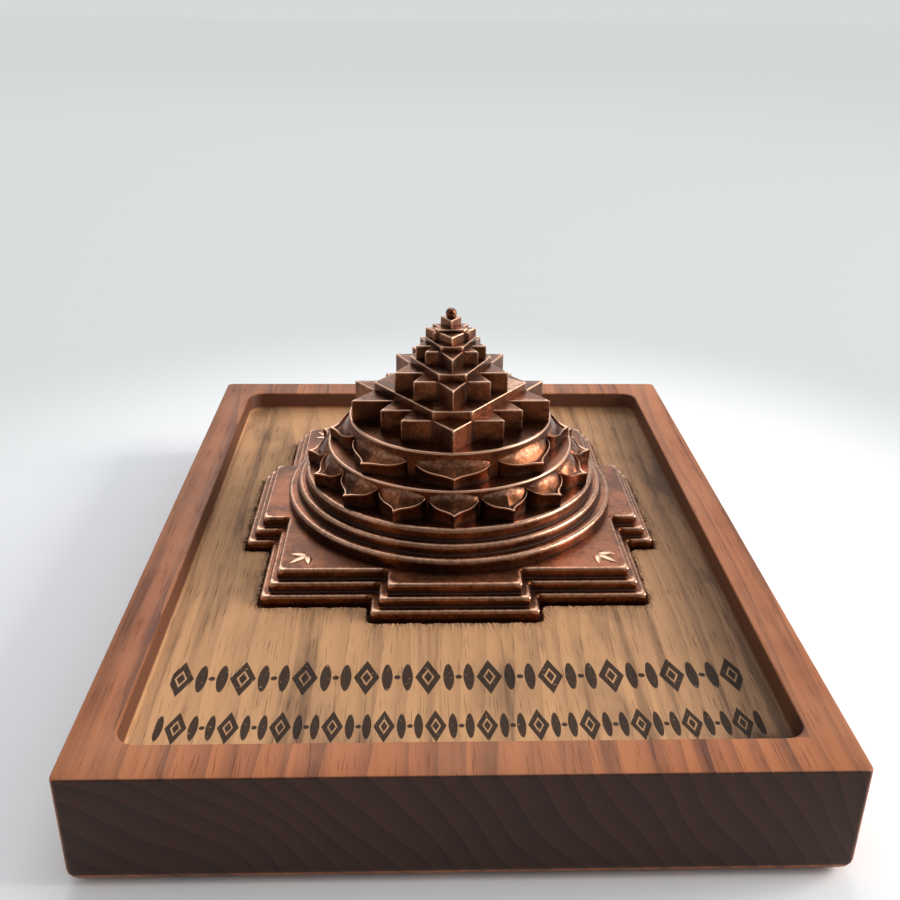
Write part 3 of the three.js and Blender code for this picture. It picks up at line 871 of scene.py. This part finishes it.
CAMERA_PLACE = (-8.851, -245.021, 157.463)
CAMERA_AZIMUTH = -1.993
CAMERA_ELEVATION = 24.564
CAMERA_ROLL = 0.734
CAMERA_LENS = 41.58
TABLE_SEEN = painted(214, 218, 218)
LAMPS = (
    ("key", (0.95, 0.02, 0.42), 0.55, 14.0, (1.0, 0.96, 0.92)),
    ("back", (-0.05, 1.00, 0.95), 0.9, 6.5, (0.97, 0.98, 1.0)),
    ("fill", (-0.95, -0.35, 0.55), 0.8, 1.6, (0.95, 0.97, 1.0)),
)


def add_camera():
    """The camera's axes are worked out from its azimuth, elevation and roll."""
    az, el, roll = (radians(v) for v in (CAMERA_AZIMUTH, CAMERA_ELEVATION, CAMERA_ROLL))
    back = Vector((sin(az) * cos(el), -cos(az) * cos(el), sin(el)))
    right = Vector((0, 0, 1)).cross(back).normalized()
    up = back.cross(right)
    turned_right = cos(roll) * right + sin(roll) * up
    turned_up = cos(roll) * up - sin(roll) * right
    data = bpy.data.cameras.new("camera")
    data.lens = CAMERA_LENS
    data.sensor_width = 36
    data.clip_start = 0.01
    camera = bpy.data.objects.new("camera", data)
    axes = Matrix((turned_right, turned_up, back)).transposed().to_4x4()
    camera.matrix_world = Matrix.Translation(Vector(CAMERA_PLACE) * MM) @ axes
    bpy.context.scene.collection.objects.link(camera)
    bpy.context.scene.camera = camera


def add_lamps():
    """Large soft lamps that face the yantra."""
    target = Vector((0, 0.01, 0.03))
    for name, place, size, power, tint in LAMPS:
        data = bpy.data.lights.new(name, "AREA")
        data.size = size
        data.energy = power
        data.color = tint
        lamp = bpy.data.objects.new(name, data)
        lamp.location = place
        lamp.rotation_euler = (target - Vector(place)).to_track_quat("-Z", "Y").to_euler()
        bpy.context.scene.collection.objects.link(lamp)


def add_world():
    """Soft pale light, strongest from above and from the right, and near white for the camera."""
    world = bpy.data.worlds.new("studio")
    bpy.context.scene.world = world
    world.use_nodes = True
    tree = world.node_tree
    tree.nodes.clear()
    coordinates = tree.nodes.new("ShaderNodeTexCoord")
    slant = tree.nodes.new("ShaderNodeVectorMath")
    slant.operation = "DOT_PRODUCT"
    slant.inputs[1].default_value = (0.35, 0.40, 0.62)
    strength = tree.nodes.new("ShaderNodeMapRange")
    for socket, value in zip(strength.inputs[1:5], (-0.3, 0.85, 0.06, 0.95)):
        socket.default_value = value
    path = tree.nodes.new("ShaderNodeLightPath")
    soft = tree.nodes.new("ShaderNodeBackground")
    soft.inputs["Color"].default_value = (0.95, 0.97, 1.0, 1)
    seen = tree.nodes.new("ShaderNodeBackground")
    seen.inputs["Color"].default_value = (*TABLE_SEEN, 1)
    mix = tree.nodes.new("ShaderNodeMixShader")
    out = tree.nodes.new("ShaderNodeOutputWorld")
    tree.links.new(coordinates.outputs["Generated"], slant.inputs[0])
    tree.links.new(slant.outputs["Value"], strength.inputs["Value"])
    tree.links.new(strength.outputs["Result"], soft.inputs["Strength"])
    tree.links.new(path.outputs["Is Camera Ray"], mix.inputs[0])
    tree.links.new(soft.outputs[0], mix.inputs[1])
    tree.links.new(seen.outputs[0], mix.inputs[2])
    tree.links.new(mix.outputs[0], out.inputs[0])


def table_material():
    """An even pale table for the camera away from the tray, and a plain lit one near it."""
    s = Shader("pale_table")
    x, y, _ = s.parts(s.place())
    away = ((x * x + y * y) ** 0.5).rise(105.0, 260.0)
    pale = {"Base Color": (0.80, 0.81, 0.82, 1), "Roughness": 0.8}
    lit = s.add("ShaderNodeBsdfPrincipled", None, pale)
    even = s.add("ShaderNodeEmission", None, {"Color": (*TABLE_SEEN, 1), "Strength": 1.0})
    camera = s.add("ShaderNodeLightPath")
    s.add_output(s.add("ShaderNodeMixShader", None, {0: away * 0.9 * camera, 1: lit, 2: even}))
    return s.material


class YANTRA_OT_stage(Operator):
    """Make the pale floor, the soft lamps and the camera"""
    bl_idname = "yantra.make_stage"
    bl_label = "Make the stage"

    def execute(self, context):
        material = table_material()
        mesh = bpy.data.meshes.new("floor")
        reach = 4.0
        corners = [(-reach, -reach, 0), (reach, -reach, 0), (reach, reach, 0), (-reach, reach, 0)]
        mesh.from_pydata(corners, [], [(0, 1, 2, 3)])
        mesh.materials.append(material)
        floor = bpy.data.objects.new("floor", mesh)
        context.scene.collection.objects.link(floor)
        add_lamps()
        add_world()
        add_camera()
        context.scene.view_settings.view_transform = "Standard"
        return {"FINISHED"}


OPERATORS = [YANTRA_OT_tray, *COPPER_OPERATORS, YANTRA_OT_stage]


class YANTRA_PT_pieces(Panel):
    """Lists the yantra's pieces and sizes"""
    bl_idname = "YANTRA_PT_pieces"
    bl_label = "Shri Yantra"
    bl_space_type = "VIEW_3D"
    bl_region_type = "UI"
    bl_category = "Yantra"

    def draw(self, context):
        for group in (context.scene.yantra_tray, context.scene.yantra_copper):
            for name in group.__annotations__:
                self.layout.prop(group, name)
        for operator in OPERATORS:
            self.layout.operator(operator.bl_idname)


CLASSES = [YantraTray, YantraCopper, *OPERATORS, YANTRA_PT_pieces]


def register():
    for cls in CLASSES:
        bpy.utils.register_class(cls)
    bpy.types.Scene.yantra_tray = PointerProperty(type=YantraTray)
    bpy.types.Scene.yantra_copper = PointerProperty(type=YantraCopper)


def unregister():
    del bpy.types.Scene.yantra_copper
    del bpy.types.Scene.yantra_tray
    for cls in reversed(CLASSES):
        bpy.utils.unregister_class(cls)


def main():
    """Makes every piece and the stage, and writes both boxes."""
    register()
    for operator in OPERATORS:
        group, name = operator.bl_idname.split(".")
        getattr(getattr(bpy.ops, group), name)()


if __name__ == "__main__":
    main()
